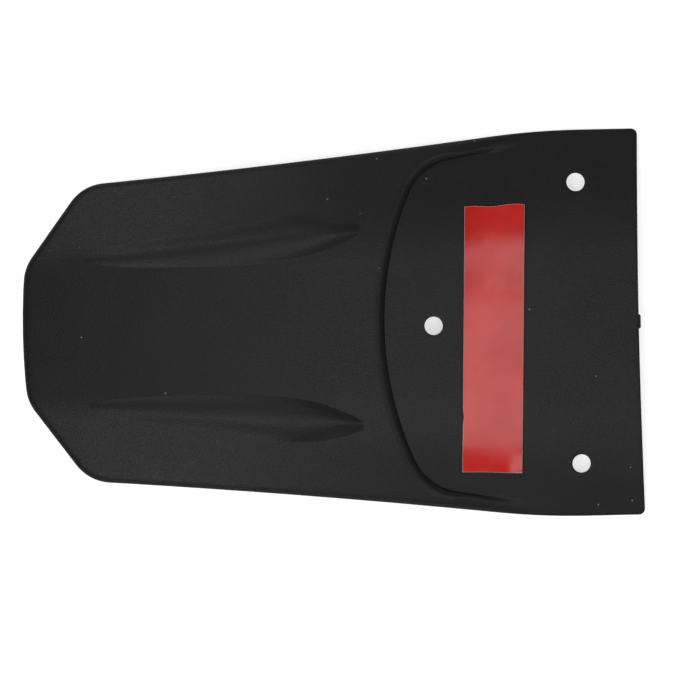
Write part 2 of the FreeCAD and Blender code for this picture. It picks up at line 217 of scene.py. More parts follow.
@dataclass(frozen=True)
class Pad:
    """Plan of the sunk mounting pad: a wide front arc, rounded corners and straight sides."""

    front_x: float = 18.7
    front_radius: float = 120.0
    corner_radius: float = 20.0
    side_angle: float = math.radians(10.0)
    end_half_width: float = 70.75
    fade_start: float = 42.0
    fade_end: float = 72.0
    fade_power: float = 1.5
    front_points: int = 52
    corner_points: int = 22
    side_points: int = 26

    def front_centre(self) -> Array:
        """Centre of the front arc."""
        return np.array([self.front_x + self.front_radius, 0.0])

    def side_normal(self) -> Array:
        """Direction straight out of the +Y side."""
        return np.array([-math.sin(self.side_angle), math.cos(self.side_angle)])

    def side(self, x: Array) -> Array:
        """Half width of the pad's straight side at x."""
        return self.end_half_width - math.tan(self.side_angle) * (HALF_LENGTH - x)

    def corner(self) -> tuple[Array, Array, Array]:
        """Rounded corner on the +Y side.

        Returns:
            The arc's centre, and where the arc meets the front and the side.
        """
        middle = self.front_centre()
        normal = self.side_normal()
        level = float(self.side(np.array(middle[0]))) * normal[1] - self.corner_radius
        span = self.front_radius - self.corner_radius
        along = np.array([normal[1], -normal[0]])
        centre = middle + normal * level - along * math.sqrt(span**2 - level**2)
        front = middle + (centre - middle) * self.front_radius / span
        return centre, front, centre + normal * self.corner_radius

    def inside(self, x: Array, y: Array) -> Array:
        """Distance inwards from the pad's edge.

        Args:
            x: places along the panel.
            y: places across the panel.

        Returns:
            The distance at each place, negative outside the pad.
        """
        side = np.abs(y)
        front = self.front_radius - np.hypot(x - self.front_x - self.front_radius, y)
        flank = (self.side(x) - side) * math.cos(self.side_angle)
        centre, start, stop = self.corner()
        first = start - centre
        last = stop - centre
        away_x = x - centre[0]
        away_y = side - centre[1]
        past_front = first[0] * away_y - first[1] * away_x < 0
        before_side = last[0] * away_y - last[1] * away_x > 0
        rounded = self.corner_radius - np.hypot(away_x, away_y)
        return np.where(past_front & before_side, rounded, np.minimum(front, flank))

    def rim(self, x: Array) -> Array:
        """Share of its full height that the rim beside the pad still has at x."""
        share = held((self.fade_end - x) / (self.fade_end - self.fade_start))
        return share**self.fade_power

    def edge(self, distance: float, stop: float) -> Array:
        """Line that runs round the pad at a distance outside its edge.

        Args:
            distance: how far outside the edge.
            stop: how far along the panel the two sides run.

        Returns:
            Points along the line, from the -Y side to the +Y side.
        """
        centre, front, side = self.corner()
        middle = self.front_centre()
        nose = middle + np.array([-1.0, 0.0])
        start = side + self.side_normal() * distance
        end = np.array([stop, start[1] + math.tan(self.side_angle) * (stop - start[0])])
        steps = np.linspace(0.0, 1.0, self.side_points)[1:, None]
        nose_arc = arc(middle, self.front_radius + distance, nose, front, self.front_points)
        turn = arc(centre, self.corner_radius + distance, front, side, self.corner_points)[1:]
        upper = np.concatenate([nose_arc, turn, start + (end - start) * steps])
        return np.concatenate([upper[:0:-1] * MIRROR, upper])


@dataclass(frozen=True)
class Plan:
    """Outline of the panel seen from above, half widths measured from the middle line."""

    tail_bow: float = 1.1
    tail_half_width: float = 23.7
    shoulder_setback: float = 22.35
    shoulder_half_width: float = 52.7
    side_hollow: float = 0.87
    flare_setback: float = 52.0
    flare_half_width: float = 66.85
    flare_bow: float = 0.45
    straight_x: float = 88.6
    mount_hollow: float = 1.0
    tail_corner: float = 16.0
    mount_corner: float = 2.0
    tail_points: int = 5
    flare_points: int = 6
    long_points: int = 9
    spacing: float = 0.95

    def loop(self) -> Array:
        """Outline as a closed loop that turns left.

        Returns:
            Evenly spaced points round the loop.
        """
        tail = np.array([self.tail_bow - HALF_LENGTH, self.tail_half_width])
        shoulder = np.array([self.shoulder_setback - HALF_LENGTH, self.shoulder_half_width])
        flare = np.array([HALF_LENGTH - self.flare_setback, self.flare_half_width])
        straight = np.array([self.straight_x, HALF_WIDTH])
        mount = np.array([HALF_LENGTH, HALF_WIDTH])
        turns = [(mount, self.mount_corner), (straight, 0.0)]
        turns += bowed(straight, flare, self.flare_bow, self.flare_points)
        turns += [(flare, 0.0)]
        turns += bowed(flare, shoulder, -self.side_hollow, self.long_points)
        turns += [(shoulder, self.tail_corner), (tail, self.tail_corner)]
        mirrored = [(point * MIRROR, radius) for point, radius in turns[::-1]]
        turns += bowed(tail, tail * MIRROR, self.tail_bow, self.tail_points)
        turns += mirrored
        turns += bowed(turns[-1][0], mount, -self.mount_hollow, self.long_points)
        return resample(rounded_loop(turns), self.spacing)


def between(first: float, last: float, share: Array) -> Array:
    """Value at a share of the way from one value to another."""
    return first + (last - first) * share


def held(share: Array) -> Array:
    """Share held between 0 and 1."""
    return np.clip(share, 0.0, 1.0)


def eased(share: Array) -> Array:
    """Share from 0 to 1 that starts and ends softly."""
    return share * share * (3 - 2 * share)


def rounded_fall(gap: Array, width: float | Array) -> Array:
    """Share of a rounded edge's fall: all of it at the edge, and none past its width."""
    share = held(1 - gap / width)
    return 1 - np.sqrt(1 - share**2)


def left_of(way: Array) -> Array:
    """Unit vectors to the left of some directions."""
    way = way / np.hypot(way[:, 0], way[:, 1])[:, None]
    return np.stack([-way[:, 1], way[:, 0]], axis=1)


def arc(centre: Array, radius: float, start: Array, stop: Array, count: int) -> Array:
    """Points of an arc between the directions of two points.

    Args:
        centre: middle of the arc.
        radius: radius of the arc.
        start: a point in the direction of the arc's start.
        stop: a point in the direction of the arc's end.
        count: how many points.

    Returns:
        The points in order.
    """
    first = math.atan2(*(start - centre)[::-1])
    last = math.atan2(*(stop - centre)[::-1])
    turn = (last - first + math.pi) % (2 * math.pi) - math.pi
    angles = first + turn * np.linspace(0.0, 1.0, count)
    return centre + radius * np.stack([np.cos(angles), np.sin(angles)], axis=1)


def bowed(start: Array, stop: Array, bow: float, count: int) -> Turns:
    """Sharp turns of a loop between two ends, on a shallow bow.

    Args:
        start: first end.
        stop: last end.
        bow: how far the middle stands out to the right of the way.
        count: how many turns between the ends.

    Returns:
        The turns in order, without the ends.
    """
    way = stop - start
    right = np.array([way[1], -way[0]]) / np.hypot(*way)
    shares = np.linspace(0.0, 1.0, count + 2)[1:-1]
    return [(start + way * at + right * bow * 4 * at * (1 - at), 0.0) for at in shares]


def rounded_loop(turns: Turns) -> Array:
    """Closed loop of corners, some of them rounded.

    Args:
        turns: each corner and the radius that rounds it.

    Returns:
        Points round the loop.
    """
    points = []
    for index, (corner, radius) in enumerate(turns):
        if radius == 0.0:
            points.append(corner[None])
            continue
        before = turns[index - 1][0] - corner
        after = turns[(index + 1) % len(turns)][0] - corner
        before = before / np.hypot(*before)
        after = after / np.hypot(*after)
        half = math.acos(float(np.clip(before @ after, -1.0, 1.0))) / 2
        reach = radius / math.tan(half)
        bisector = (before + after) / np.hypot(*(before + after))
        centre = corner + bisector * radius / math.sin(half)
        ends = (corner + before * reach, corner + after * reach)
        points.append(arc(centre, radius, *ends, CORNER_POINTS))
    return np.concatenate(points)


def resample(loop: Array, spacing: float) -> Array:
    """Evenly spaced points round a closed loop.

    Args:
        loop: points round the loop.
        spacing: distance between the new points.

    Returns:
        The new points in order.
    """
    closed = np.concatenate([loop, loop[:1]])
    lengths = np.concatenate([[0.0], np.cumsum(np.hypot(*np.diff(closed, axis=0).T))])
    places = np.linspace(0.0, lengths[-1], int(lengths[-1] / spacing), endpoint=False)
    return np.stack([np.interp(places, lengths, closed[:, axis]) for axis in (0, 1)], axis=1)


def smooth_run(stations: Array, values: Array, places: Array) -> Array:
    """Smooth curve through values at stations that doesn't overshoot them.

    Args:
        stations: where the values hold, rising.
        values: the values there.
        places: where the curve is wanted.

    Returns:
        The curve's value at each place.
    """
    widths = np.diff(stations)
    slopes = np.diff(values) / widths
    before, after = slopes[:-1], slopes[1:]
    same = before * after > 0
    mean = 2 * before * after / np.where(same, before + after, 1.0)
    tangents = np.concatenate([slopes[:1], np.where(same, mean, 0.0), slopes[-1:]])
    index = np.clip(np.searchsorted(stations, places) - 1, 0, len(widths) - 1)
    width = widths[index]
    t = held((places - stations[index]) / width)
    start = (1 + 2 * t) * (1 - t) ** 2 * values[index] + t * (1 - t) ** 2 * width * tangents[index]
    stop = t**2 * (3 - 2 * t) * values[index + 1]
    return start + stop + t**2 * (t - 1) * width * tangents[index + 1]


def inset(loop: Array, distance: Array) -> Array:
    """Points of a left-turning loop moved inwards, each by its own distance."""
    way = np.roll(loop, -1, axis=0) - np.roll(loop, 1, axis=0)
    return loop + left_of(way) * distance[:, None]


def pushed(line: Array, distance: Array) -> Array:
    """Points of an open line moved to its left, each by its own distance."""
    return line + left_of(np.gradient(line, axis=0)) * distance[:, None]


def within(loop: Array, points: Array) -> Array:
    """Which points lie inside a closed loop.

    Args:
        loop: points round the loop.
        points: the points to test.

    Returns:
        True for each point inside.
    """
    result = np.zeros(len(points), dtype=bool)
    for (x0, y0), (x1, y1) in zip(loop, np.roll(loop, -1, axis=0)):
        if y0 == y1:
            continue
        crosses = (y0 > points[:, 1]) != (y1 > points[:, 1])
        result ^= crosses & (points[:, 0] < (x1 - x0) * (points[:, 1] - y0) / (y1 - y0) + x0)
    return result


def gap_to(loop: Array, points: Array) -> Array:
    """Distance from each point to a closed loop.

    Args:
        loop: points round the loop.
        points: the points to measure from.

    Returns:
        The distance of each point.
    """
    best = np.full(len(points), np.inf)
    for start, stop in zip(loop, np.roll(loop, -1, axis=0)):
        way = stop - start
        share = held(((points - start) @ way) / (way @ way))
        best = np.minimum(best, np.hypot(*(points - start - share[:, None] * way).T))
    return best


def grid_faces(columns: int, rows: int) -> Faces:
    """Faces of a grid of points, all pointing up."""
    corners = [i * rows + j for i in range(columns - 1) for j in range(rows - 1)]
    return [[corner, corner + rows, corner + rows + 1, corner + 1] for corner in corners]


def mesh_object(name: str, points: Array, faces: Faces) -> Piece:
    """New object of a mesh given in millimetres.

    Args:
        name: name of the piece.
        points: vertices.
        faces: vertex indices of each face.

    Returns:
        The object, linked to the scene at the origin.
    """
    mesh = bpy.data.meshes.new(name)
    mesh.from_pydata((points * MM).tolist(), [], faces)
    mesh.validate()
    piece = bpy.data.objects.new(name, mesh)
    bpy.context.scene.collection.objects.link(piece)
    return piece


def shade_smooth(piece: Piece, crease: float) -> None:
    """Shade a piece smooth, but crisp where it turns by more than the crease angle."""
    piece.data.polygons.foreach_set("use_smooth", [True] * len(piece.data.polygons))
    piece.data.set_sharp_from_angle(angle=crease)


class NodeBoard:
    """Node tree with a short call for adding nodes and linking them."""

    def __init__(self, tree: bpy.types.NodeTree) -> None:
        """Work on the given tree."""
        self.tree = tree

    def add(self, kind: str, links: dict | None = None, **values: object) -> bpy.types.Node:
        """Add a node.

        Args:
            kind: the node's type.
            links: sockets that feed the node's inputs, by input name or number.
            **values: node properties or input values, with underscores for spaces.

        Returns:
            The new node.
        """
        node = self.tree.nodes.new(kind)
        for key, value in values.items():
            label = key.replace("_", " ")
            if label in node.inputs:
                node.inputs[label].default_value = value
            else:
                setattr(node, key, value)
        for key, socket in (links or {}).items():
            self.tree.links.new(socket, node.inputs[key])
        return node

    def first(self, kind: str, links: dict | None = None, **values: object) -> Socket:
        """Add a node as add does, and give its first output."""
        return self.add(kind, links, **values).outputs[0]


class MaterialBoard(NodeBoard):
    """Node tree of a new material, with what the finishes share."""

    def __init__(self, name: str) -> None:
        """Start an empty material of the given name."""
        self.material = bpy.data.materials.new(name)
        self.material.use_nodes = True
        super().__init__(self.material.node_tree)
        self.tree.nodes.clear()
        self.output = self.tree.nodes.new("ShaderNodeOutputMaterial")

    def place(self) -> Socket:
        """Object coordinates."""
        return self.add("ShaderNodeTexCoord").outputs["Object"]

    def noise(self, place: Socket, scale: float, detail: float) -> Socket:
        """Factor of a noise texture at a scale."""
        node = self.add("ShaderNodeTexNoise", {"Vector": place}, Scale=scale, Detail=detail)
        return node.outputs["Fac"]

    def ramp(self, value: Socket, span: Pair, result: Pair = (0.0, 1.0)) -> Socket:
        """Value moved from one range to another and held at its ends.

        Args:
            value: socket to read.
            span: start and end of its range.
            result: what it becomes at the start and at the end.

        Returns:
            The result's socket.
        """
        node = self.add("ShaderNodeMapRange", {"Value": value})
        for key, number in zip(("From Min", "From Max", "To Min", "To Max"), (*span, *result)):
            node.inputs[key].default_value = number
        return node.outputs["Result"]

    def blend(self, factor: Socket, first: Triple | Socket, second: Triple) -> Socket:
        """Colour between two colours.

        Args:
            factor: socket of the second colour's share.
            first: first colour, or its socket.
            second: second colour.

        Returns:
            The blended colour's socket.
        """
        node = self.add("ShaderNodeMix", {"Factor": factor}, data_type="RGBA")
        if isinstance(first, Socket):
            self.tree.links.new(first, node.inputs[MIX_FIRST])
        else:
            node.inputs[MIX_FIRST].default_value = (*first, 1.0)
        node.inputs[MIX_SECOND].default_value = (*second, 1.0)
        return node.outputs[MIX_RESULT]

    def coat(self, relief: Socket, bump: Pair, links: dict, **values: float) -> Material:
        """Close the material with a principled shader over a fine relief.

        Args:
            relief: socket of the relief's height.
            bump: strength of the relief, and its depth in metres.
            links: sockets that feed the shader's inputs, by name.
            **values: the shader's constant inputs.

        Returns:
            The material.
        """
        node = self.add("ShaderNodeBump", {"Height": relief}, Strength=bump[0], Distance=bump[1])
        links = {**links, "Normal": node.outputs["Normal"]}
        return self.close(self.first("ShaderNodeBsdfPrincipled", links, **values))

    def close(self, shader: Socket) -> Material:
        """Send a shader to the output and return the material."""
        self.tree.links.new(shader, self.output.inputs["Surface"])
        return self.material


class LaidStripTree(NodeBoard):
    """Geometry node tree that lays a flat cut on a surface below it and gives it its thickness."""

    inputs = {
        "Cut": "Geometry",
        "Surface": "Object",
        "Height": "Float",
        "Thickness": "Float",
        "Material": "Material",
    }
    ray_start = 1.0
    ray_length = 2.0
    merge_distance = 1e-6

    def __init__(self, name: str) -> None:
        """Build the tree of the given name with its named inputs."""
        super().__init__(bpy.data.node_groups.new(name, "GeometryNodeTree"))
        sockets = self.tree.interface
        for label, kind in self.inputs.items():
            sockets.new_socket(label, in_out="INPUT", socket_type=f"NodeSocket{kind}")
        sockets.new_socket("Strip", in_out="OUTPUT", socket_type="NodeSocketGeometry")
        given = self.add("NodeGroupInput").outputs
        under = self.lay(given)
        up = self.first("ShaderNodeCombineXYZ", Z=1.0)
        links = {"Mesh": under, "Offset": up, "Offset Scale": given["Thickness"]}
        over = self.first("GeometryNodeExtrudeMesh", links, Individual=False)
        both = self.add("GeometryNodeJoinGeometry", {"Geometry": over})
        turned = self.first("GeometryNodeFlipFaces", {"Mesh": under})
        self.tree.links.new(turned, both.inputs["Geometry"])
        links = {"Geometry": both.outputs[0]}
        closed = self.first("GeometryNodeMergeByDistance", links, Distance=self.merge_distance)
        plain = self.first("GeometryNodeRealizeInstances", {"Geometry": closed})
        links = {"Geometry": plain, "Material": given["Material"]}
        self.add("NodeGroupOutput", {"Strip": self.first("GeometryNodeSetMaterial", links)})

    def lay(self, given: bpy.types.NodeOutputs) -> Socket:
        """Drop the cut on the surface and raise it by its height and its own lift.

        Args:
            given: outputs of the tree's input node.

        Returns:
            The socket of the laid cut.
        """
        surface = self.add("GeometryNodeObjectInfo", {"Object": given["Surface"]})
        spot = self.first("GeometryNodeInputPosition")
        up = self.first("ShaderNodeCombineXYZ", Z=self.ray_start)
        above = self.first("ShaderNodeVectorMath", {0: spot, 1: up}, operation="ADD")
        links = {"Target Geometry": surface.outputs["Geometry"], "Source Position": above}
        ray = self.add("GeometryNodeRaycast", links, Ray_Length=self.ray_length)
        hit = ray.outputs["Hit Position"]
        lift = self.add("GeometryNodeInputNamedAttribute", Name="lift").outputs["Attribute"]
        rise = self.first("ShaderNodeMath", {0: given["Height"], 1: lift}, operation="ADD")
        shift = self.first("ShaderNodeCombineXYZ", {"Z": rise})
        laid = self.first("ShaderNodeVectorMath", {0: hit, 1: shift}, operation="ADD")
        return self.first("GeometryNodeSetPosition", {"Geometry": given["Cut"], "Position": laid})

    def apply(self, piece: Piece, values: dict[str, object]) -> None:
        """Turn a flat cut into the laid strip.

        Args:
            piece: object of the flat cut, which keeps its name.
            values: the tree's inputs by name.
        """
        modifier = piece.modifiers.new("laid", "NODES")
        modifier.node_group = self.tree
        for socket in self.tree.interface.items_tree:
            if socket.name in values:
                modifier[socket.identifier] = values[socket.name]
        laid = piece.evaluated_get(bpy.context.evaluated_depsgraph_get())
        mesh = bpy.data.meshes.new_from_object(laid)
        piece.modifiers.clear()
        mesh.attributes.remove(mesh.attributes["lift"])
        mesh.name = piece.name
        piece.data = mesh


@dataclass(frozen=True)
class GrainedPlastic:
    """Black moulded plastic with a fine leather-like grain and a few specks of dust."""

    dark: Triple = (0.0095, 0.0095, 0.0098)
    light: Triple = (0.0125, 0.0125, 0.0128)
    dust: Triple = (0.2, 0.2, 0.2)
    grain_scale: float = 1500.0
    cloud_scale: float = 45.0
    detail: float = 3.0
    speck_scale: float = 170.0
    speck_size: Pair = (0.025, 0.065)
    speck_choice: Pair = (0.82, 0.83)
    roughness: Pair = (0.31, 0.45)
    gloss: float = 0.175
    refraction: float = 1.48
    bump: Pair = (0.6, 0.00015)

    def material(self) -> Material:
        """Make the material.

        Returns:
            The material.
        """
        board = MaterialBoard("grained_black_plastic")
        place = board.place()
        grain = board.noise(place, self.grain_scale, self.detail)
        cloud = board.noise(place, self.cloud_scale, self.detail)
        colour = board.blend(board.ramp(cloud, NOISE_WIDE), self.dark, self.light)
        specks = board.add("ShaderNodeTexVoronoi", {"Vector": place}, Scale=self.speck_scale)
        near = board.ramp(specks.outputs["Distance"], self.speck_size, (1.0, 0.0))
        parts = board.add("ShaderNodeSeparateColor", {"Color": specks.outputs["Color"]})
        rare = board.ramp(parts.outputs["Red"], self.speck_choice)
        speck = board.first("ShaderNodeMath", {0: near, 1: rare}, operation="MULTIPLY")
        dusty = board.blend(speck, colour, self.dust)
        rough = board.ramp(grain, NOISE_WIDE, self.roughness)
        links = {"Base Color": dusty, "Roughness": rough}
        shine = {"IOR": self.refraction, "Specular_IOR_Level": self.gloss}
        return board.coat(grain, self.bump, links, **shine)


@dataclass(frozen=True)
class LinerFilm:
    """Smooth red film with a faint cloudiness and a slow swell."""

    deep: Triple = (0.46, 0.009, 0.007)
    bright: Triple = (0.55, 0.018, 0.014)
    cloud: Pair = (60.0, 2.0)
    haze: Pair = (300.0, 3.0)
    swell: Pair = (34.0, 1.0)
    roughness: Pair = (0.13, 0.21)
    refraction: float = 1.45
    bump: Pair = (1.0, 0.0011)

    def material(self) -> Material:
        """Make the material.

        Returns:
            The material.
        """
        board = MaterialBoard("red_liner_film")
        place = board.place()
        patterns = (self.cloud, self.haze, self.swell)
        cloud, haze, swell = (board.noise(place, *pattern) for pattern in patterns)
        colour = board.blend(board.ramp(cloud, NOISE_NARROW), self.deep, self.bright)
        rough = board.ramp(haze, NOISE_WIDE, self.roughness)
        links = {"Base Color": colour, "Roughness": rough}
        return board.coat(swell, self.bump, links, IOR=self.refraction)


@dataclass(frozen=True)
class TapeFoam:
    """Pale foam of the tape's cut edges, with fine cells."""

    pale: Triple = (0.46, 0.43, 0.43)
    shade: Triple = (0.3, 0.28, 0.28)
    cells: Pair = (2600.0, 2.0)
    roughness: float = 0.85
    bump: Pair = (0.3, 0.0001)

    def material(self) -> Material:
        """Make the material.

        Returns:
            The material.
        """
        board = MaterialBoard("pale_tape_foam")
        cells = board.noise(board.place(), *self.cells)
        colour = board.blend(board.ramp(cells, NOISE_NARROW), self.shade, self.pale)
        return board.coat(cells, self.bump, {"Base Color": colour}, Roughness=self.roughness)


@dataclass
class FenderPanel:
    """The moulded panel: arched skin, sunk pad with a sloped edge, ribs, rims and holes."""

    finish: GrainedPlastic
    crown: Crown = Crown()
    rib: Rib = Rib()
    pad: Pad = Pad()
    plan: Plan = Plan()
    holes: tuple[Pair, ...] = ((87.65, 50.0), (87.65, -50.0), (36.1, 0.0))
    hole_radius: float = 3.25
    hole_edge: float = 0.35
    hole_rings: Sizes = (0.0, 0.04, 0.14, 0.25, 0.35)
    hole_points: int = 48
    hole_keep: float = 0.997
    slope_places: Sizes = (34.0, 48.0, 58.0, 68.0, 77.0)
    slope_runs: Sizes = (4.3, 1.9, 2.1, 2.1, 1.9)
    slope_powers: Sizes = (3.0, 3.0, 1.7, 1.4, 1.3)
    slope_shares: Sizes = (0.0, 0.06, 0.2, 0.38, 0.6, 0.82, 1.0)
    under_slope: float = 0.8
    tail_round: Pair = (2.3, 1.5)
    mount_round: Pair = (0.6, 0.5)
    round_start: float = 42.0
    round_run: float = 36.0
    round_shares: Sizes = (0.0, 0.03, 0.1, 0.22, 0.4, 0.65, 1.0)
    under_round: float = 0.35
    under_shares: Sizes = (0.0, 0.1, 0.4, 1.0)
    grid: float = 1.6
    grid_reach: Pair = (111.0, 70.0)
    under_coarser: float = 1.7
    clearance: float = 0.55
    gate: Triple = (5.0, 0.7, 1.7)
    gate_root: float = 0.8
    gate_straight: float = 0.6
    gate_taper: float = 0.82
    crease: float = math.radians(32.0)

    def slope_width(self, x: Array) -> Array:
        """Width of the slope down to the pad, narrower on the rims."""
        return np.interp(x, self.slope_places, self.slope_runs)

    def rounding(self, x: Array) -> list[Array]:
        """Width and fall of the rounded edge at x, both smaller at the mounting end."""
        share = eased(held((x - self.round_start) / self.round_run))
        return [between(*ends, share) for ends in zip(self.tail_round, self.mount_round)]

    def height(self, face: Face, points: Array, gap: Array) -> Array:
        """Height of one face.

        Args:
            face: which face.
            points: places in plan.
            gap: distance of each place from the outline.

        Returns:
            The height at each place.
        """
        x, y = points.T
        step, wall = self.crown.step, self.crown.wall
        inside = self.pad.inside(x, y)
        rim = self.pad.rim(x)
        level = self.crown.height(x, y) + self.rib.rise(x, y)
        if face is Face.UNDER:
            along = held((inside + wall) / self.under_slope + 1)
            level = level - step * (1 - rim * (1 - along)) - wall
            return level + self.under_round * rounded_fall(gap, self.under_round)
        along = held(inside / self.slope_width(x) + 1)
        power = np.interp(x, self.slope_places, self.slope_powers)
        level = level - (step - step * rim * (1 - along**power))
        for centre in self.holes:
            off = np.hypot(x - centre[0], y - centre[1]) - self.hole_radius
            level = level - self.hole_edge * rounded_fall(off, self.hole_edge)
        width, fall = self.rounding(x)
        return level - fall * rounded_fall(gap, width)

    def guides(self, face: Face, outline: Array) -> list[Guide]:
        """Lines that the mesh of one face follows.

        Args:
            face: which face.
            outline: points round the panel.

        Returns:
            The lines of the outline, the pad, the ribs and the holes.
        """
        stop = self.slope_places[-1]
        if face is Face.OUTER:
            edge = self.pad.edge(0.0, stop)
            run = self.slope_width(edge[:, 0])
            steps = [pushed(edge, run * share) for share in self.slope_shares]
            widths = self.rounding(outline[:, 0])[0]
            shares, rings = self.round_shares, self.hole_rings
        else:
            wall = self.crown.wall
            steps = [self.pad.edge(wall + run, stop) for run in (0.0, self.under_slope)]
            widths = np.full(len(outline), self.under_round)
            shares, rings = self.under_shares, self.hole_rings[:1]
        lines = [Guide(inset(outline, widths * share), border=share == 0.0) for share in shares]
        lines += [Guide(step, closed=False) for step in steps]
        for foot in self.rib.feet():
            lines += [Guide(foot, closed=False), Guide(foot * MIRROR, closed=False)]
        turn = np.linspace(0.0, 2 * math.pi, self.hole_points, endpoint=False)
        circle = np.stack([np.cos(turn), np.sin(turn)], axis=1)
        for centre in self.holes:
            for off in rings:
                ring = np.array(centre) + circle * (self.hole_radius + off)
                lines.append(Guide(ring, border=off == 0.0))
        return lines

    def fill(self, face: Face, outline: Array, taken: Array) -> Array:
        """Points of a triangular grid between the lines.

        Args:
            face: which face.
            outline: points round the panel.
            taken: points of the lines, which the grid keeps clear of.

        Returns:
            The grid's points.
        """
        pitch = self.grid if face is Face.OUTER else self.grid * self.under_coarser
        reach_x, reach_y = self.grid_reach
        grid = []
        for number, y in enumerate(np.arange(-reach_y, reach_y, pitch * math.sqrt(3) / 2)):
            x = np.arange(-reach_x, reach_x, pitch) + (pitch / 2 if number % 2 else 0.0)
            grid.append(np.stack([x, np.full_like(x, y)], axis=1))
        spots = np.concatenate(grid)
        spots = spots[within(outline, spots)]
        clear = np.ones(len(spots), dtype=bool)
        for start in range(0, len(taken), CHUNK):
            part = taken[start : start + CHUNK]
            away = np.hypot(*(spots[:, None] - part[None]).transpose(2, 0, 1))
            clear &= away.min(axis=1) > self.clearance
        return spots[clear]

    def kept(self, outline: Array, plan: Array, triangles: Array, border: Array) -> Array:
        """Which triangles belong to the panel: none in a hole and none past the outline.

        Args:
            outline: points round the panel.
            plan: points of the mesh in plan.
            triangles: point indices of each triangle, turning left.
            border: point indices round the outline.

        Returns:
            True for each one to keep.
        """
        middles = plan[triangles].mean(axis=1)
        keep = within(outline, middles)
        for centre in self.holes:
            away = np.hypot(*(middles - np.array(centre)).T)
            keep &= away > self.hole_radius * self.hole_keep
        # A sliver past the outline runs along a side of it the wrong way round.
        backwards = np.roll(border, -1) * len(plan) + border
        for start, stop in ((0, 1), (1, 2), (2, 0)):
            keep &= ~np.isin(triangles[:, start] * len(plan) + triangles[:, stop], backwards)
        return keep

    def skin(self, face: Face, outline: Array) -> tuple[Array, Faces, Faces]:
        """Triangles of one face.

        Args:
            face: which face.
            outline: points round the panel.

        Returns:
            The points, the triangles, and the borders: the outline, then the holes.
        """
        edges: list[tuple[int, int]] = []
        borders: Faces = []
        total = 0
        guides = self.guides(face, outline)
        for guide in guides:
            index = list(range(total, total + len(guide.points)))
            edges += zip(index, index[1:] + (index[:1] if guide.closed else []))
            borders += [index] if guide.border else []
            total += len(index)
        taken = np.concatenate([guide.points for guide in guides])
        flat = np.concatenate([taken, self.fill(face, outline, taken)])
        corners = [Vector(point) for point in flat.tolist()]
        made = geometry.delaunay_2d_cdt(corners, edges, [], 0, MESH_TOLERANCE)
        plan = np.array([tuple(vector) for vector in made[0]])
        triangles = np.array(made[2])
        back = {old: new for new, olds in enumerate(made[3]) for old in olds}
        borders = [[back[old] for old in border] for border in borders]
        keep = self.kept(outline, plan, triangles, np.array(borders[0]))
        height = self.height(face, plan, gap_to(outline, plan))
        return np.column_stack([plan, height]), triangles[keep].tolist(), borders

    def gate_stub(self) -> tuple[Array, Faces]:
        """Small trimmed stub of the moulding gate on the mounting end.

        Returns:
            The stub's points and faces.
        """
        width, proud, tall = self.gate
        level = float(self.crown.height(np.array(HALF_LENGTH), np.array(0.0)))
        middle = level - self.crown.step - self.crown.wall / 2
        end = HALF_LENGTH - self.plan.mount_hollow
        rings = (
            (end - self.gate_root, 1.0),
            (end + proud * self.gate_straight, 1.0),
            (end + proud, self.gate_taper),
        )
        corners = ((-0.5, -0.5), (0.5, -0.5), (0.5, 0.5), (-0.5, 0.5))
        sides = len(corners)
        points = []
        for x, share in rings:
            points += [(x, y * width * share, middle + z * tall * share) for y, z in corners]
        faces = []
        for first in (0, sides):
            for i in range(sides):
                j = (i + 1) % sides
                faces.append([first + i, first + j, first + sides + j, first + sides + i])
        faces += [list(range(2 * sides, 3 * sides)), list(range(sides))[::-1]]
        return np.array(points), faces

    def build(self) -> Piece:
        """Build the panel's mesh: two faces, the walls between their borders, and the gate stub.

        Returns:
            The panel's object.
        """
        outline = self.plan.loop()
        top, top_faces, top_borders = self.skin(Face.OUTER, outline)
        low, low_faces, low_borders = self.skin(Face.UNDER, outline)
        shift = len(top)
        faces = top_faces + [[index + shift for index in face[::-1]] for face in low_faces]
        for number, (upper, lower) in enumerate(zip(top_borders, low_borders)):
            pairs = [(a, b + shift) for a, b in zip(upper, lower)]
            for (a, b), (c, d) in zip(pairs, pairs[1:] + pairs[:1]):
                faces.append([a, b, d, c] if number == 0 else [c, d, b, a])
        stub, stub_faces = self.gate_stub()
        shift += len(low)
        faces += [[index + shift for index in face] for face in stub_faces]
        return mesh_object("moulded_panel", np.concatenate([top, low, stub]), faces)

    def dress(self, piece: Piece) -> None:
        """Shade the panel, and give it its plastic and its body.

        Args:
            piece: the panel's object.
        """
        shade_smooth(piece, self.crease)
        piece.data.materials.append(self.finish.material())
        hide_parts("fender_panel")
        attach(piece, "root")


